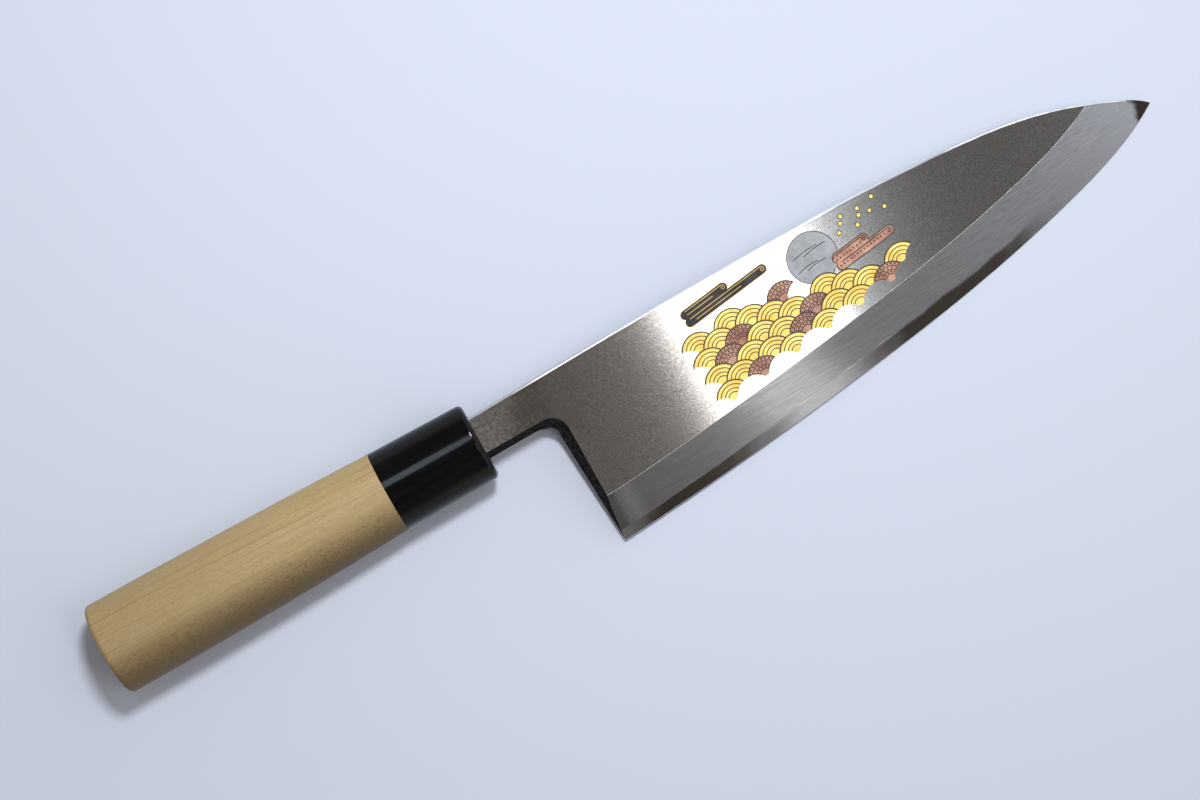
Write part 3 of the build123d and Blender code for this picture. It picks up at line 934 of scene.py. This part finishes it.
flake_run_shares = (0.0, 0.2, 0.38, 0.55, 0.72, 0.9, 0.12, 0.5, 1.0)
flake_lift_shares = (0.3, 0.85, 0.1, 0.7, 0.3, 0.75, 0.6, 0.42, 0.05)
flake_corner, flake_field = (61.0, 19.5), (16.0, 7.0)
flake_radius, flake_steps = 0.7, 20
for run_share, lift_share in zip(flake_run_shares, flake_lift_shares):
    centre = (flake_corner[0] + flake_field[0] * run_share, flake_corner[1] + flake_field[1] * lift_share)
    moon_lines.path(circle(centre, flake_radius, flake_steps), closed=True)
made_by(line_pattern("fine_lines", 0.26, lacquer.material), "moon_lines",
        moon_lines.points, moon_lines.edges, "dark_alloy")

# %% [markdown]
# Three edges of the blade show as thin lines. The ridge between the face and the bevel is burnished by
# handling. The spine's edge is rounded, and a bright line on it is a painted highlight, broken by painted
# dark stretches near the neck and from about 120 to 175 mm. A tan rim along the edge of the neck and the
# choil, where the forge scale ends, is a painted highlight of that edge. All three are read from the CAD
# part: each is a row of mesh edges between a face that looks up and one that looks another way. The walls
# of the shallow pockets for the plates are left out by their place or their height. The tree that makes
# the engraved lines makes these ribbons too, each laid just inside its edge.

# %% Edges of the blade
plates_top, plates_end = 7.4, 160
ferrule_clearance, choil_end = 1, 29
pocket_depth_limit = 1.2


def look_of(face):
    """The direction in which a face looks, along the knife's own axes."""
    return knife_axes.transposed() @ face.normal


def edge_drawing(is_wanted, inset):
    """Corners and edges of the mesh edges that pass a test, moved by an inset in millimetres.

    The test gets the directions of the upper and the outer face along the knife's axes, the outer
    face's height, and the middle of the edge along the knife.
    """
    blade = bmesh.new()
    blade.from_mesh(nodes["blade_iron"].data)
    bmesh.ops.remove_doubles(blade, verts=blade.verts, dist=1e-6)
    order, points, edges = {}, [], []
    for edge in blade.edges:
        if len(edge.link_faces) != 2:
            continue
        outer, upper = sorted(edge.link_faces, key=lambda face: look_of(face).z)
        heights = [corner.co.z / mm for corner in outer.verts]
        middle = to_knife @ ((edge.verts[0].co + edge.verts[1].co) / 2) / mm
        if not is_wanted(look_of(upper), look_of(outer), max(heights) - min(heights), middle):
            continue
        for corner in edge.verts:
            if corner.index not in order:
                order[corner.index] = len(points)
                points.append(tuple(corner.co / mm + knife_axes @ Vector(inset)))
        edges.append(tuple(order[corner.index] for corner in edge.verts))
    blade.free()
    print(len(edges), "mesh edges found")
    return points, edges


def on_ridge(upper, outer, height, middle):
    return upper.z > 0.999 and 0.80 < outer.z < 0.992 and outer.y < -0.1


def on_spine(upper, outer, height, middle):
    beyond_plates = middle.y > plates_top or middle.x > plates_end
    looks_up, looks_back = upper.z > 0.9, abs(outer.z) < 0.1 and outer.y > 0.85
    return looks_up and looks_back and beyond_plates and middle.x > ferrule_clearance


def on_choil(upper, outer, height, middle):
    looks_up, looks_out = upper.z > 0.9, abs(outer.z) < 0.3 and min(outer.x, outer.y) < -0.3
    return looks_up and looks_out and height > pocket_depth_limit and middle.x < choil_end


# %% Burnished ridge, and painted highlights on the spine and the rim
burnished = Finish("burnished_ridge")
wear = burnished.between(burnished.noise(burnished.stretched((0.35, 0.1, 0.1)), 1.0, 4.0, 0.7), 0.35, 0.7)
burnished_color = burnished.mix(wear, (0.36, 0.355, 0.35, 1), (0.62, 0.615, 0.61, 1))
burnished.surface(Base_Color=burnished_color, Metallic=1.0, Roughness=0.5)
from_millimetres = Matrix.Scale(mm, 4)
made_by(line_pattern("ridge_ribbon", 0.11, burnished.material), "ridge_line",
        *edge_drawing(on_ridge, (0, 0, 0)), "iron", from_millimetres)

# Painted highlight: a bright metal line along the spine's edge stands for the highlight it catches, with
# painted dark stretches near the neck and from about 120 to 175 mm.
spine_highlight = Finish("painted_spine_highlight")
run_along = spine_highlight.split(spine_highlight.place)[0]
neck_part = spine_highlight.between(run_along, 26.0, 12.0)
third_quarter = spine_highlight.math("MULTIPLY", spine_highlight.between(run_along, 118.0, 130.0),
                            spine_highlight.between(run_along, 178.0, 160.0))
patchy = spine_highlight.between(spine_highlight.noise(spine_highlight.stretched((0.12, 0.1, 0.1)), 1.0, 3.0, 0.6), 0.3, 0.6)
bright_highlight_color = spine_highlight.mix(patchy, (0.50, 0.49, 0.48, 1), (0.85, 0.84, 0.83, 1))
painted_dark_stretch = spine_highlight.math("MULTIPLY", spine_highlight.math("MAXIMUM", neck_part, third_quarter), 0.85)
spine_line_color = spine_highlight.mix(painted_dark_stretch, bright_highlight_color, (0.16, 0.155, 0.15, 1))
spine_highlight.surface(Base_Color=spine_line_color, Metallic=1.0, Roughness=0.46)
made_by(line_pattern("spine_ribbon", 0.50, spine_highlight.material), "painted_spine_highlight",
        *edge_drawing(on_spine, (0, -0.26, 0)), "iron", from_millimetres)

# Painted highlight: a tan line along the edge of the neck and the choil stands for the light that this edge
# catches.
rim = Finish("painted_rim_highlight")
rim_patchiness = rim.between(rim.noise(rim.place, 0.5, 3.0), 0.4, 0.6)
rim_highlight_color = rim.mix(rim_patchiness, (0.20, 0.165, 0.13, 1), (0.52, 0.44, 0.34, 1))
rim.surface(Base_Color=rim_highlight_color, Metallic=0.6, Roughness=0.5)
made_by(line_pattern("rim_ribbon", 0.26, rim.material), "choil_rim_highlight",
        *edge_drawing(on_choil, (0.11, 0.11, 0)), "iron", from_millimetres)

# %% [markdown]
# The view transform stays plain, so that a colour on the screen is the colour of the surface under the
# lamp.

# %% Finish
bpy.context.scene.view_settings.view_transform = "Standard"
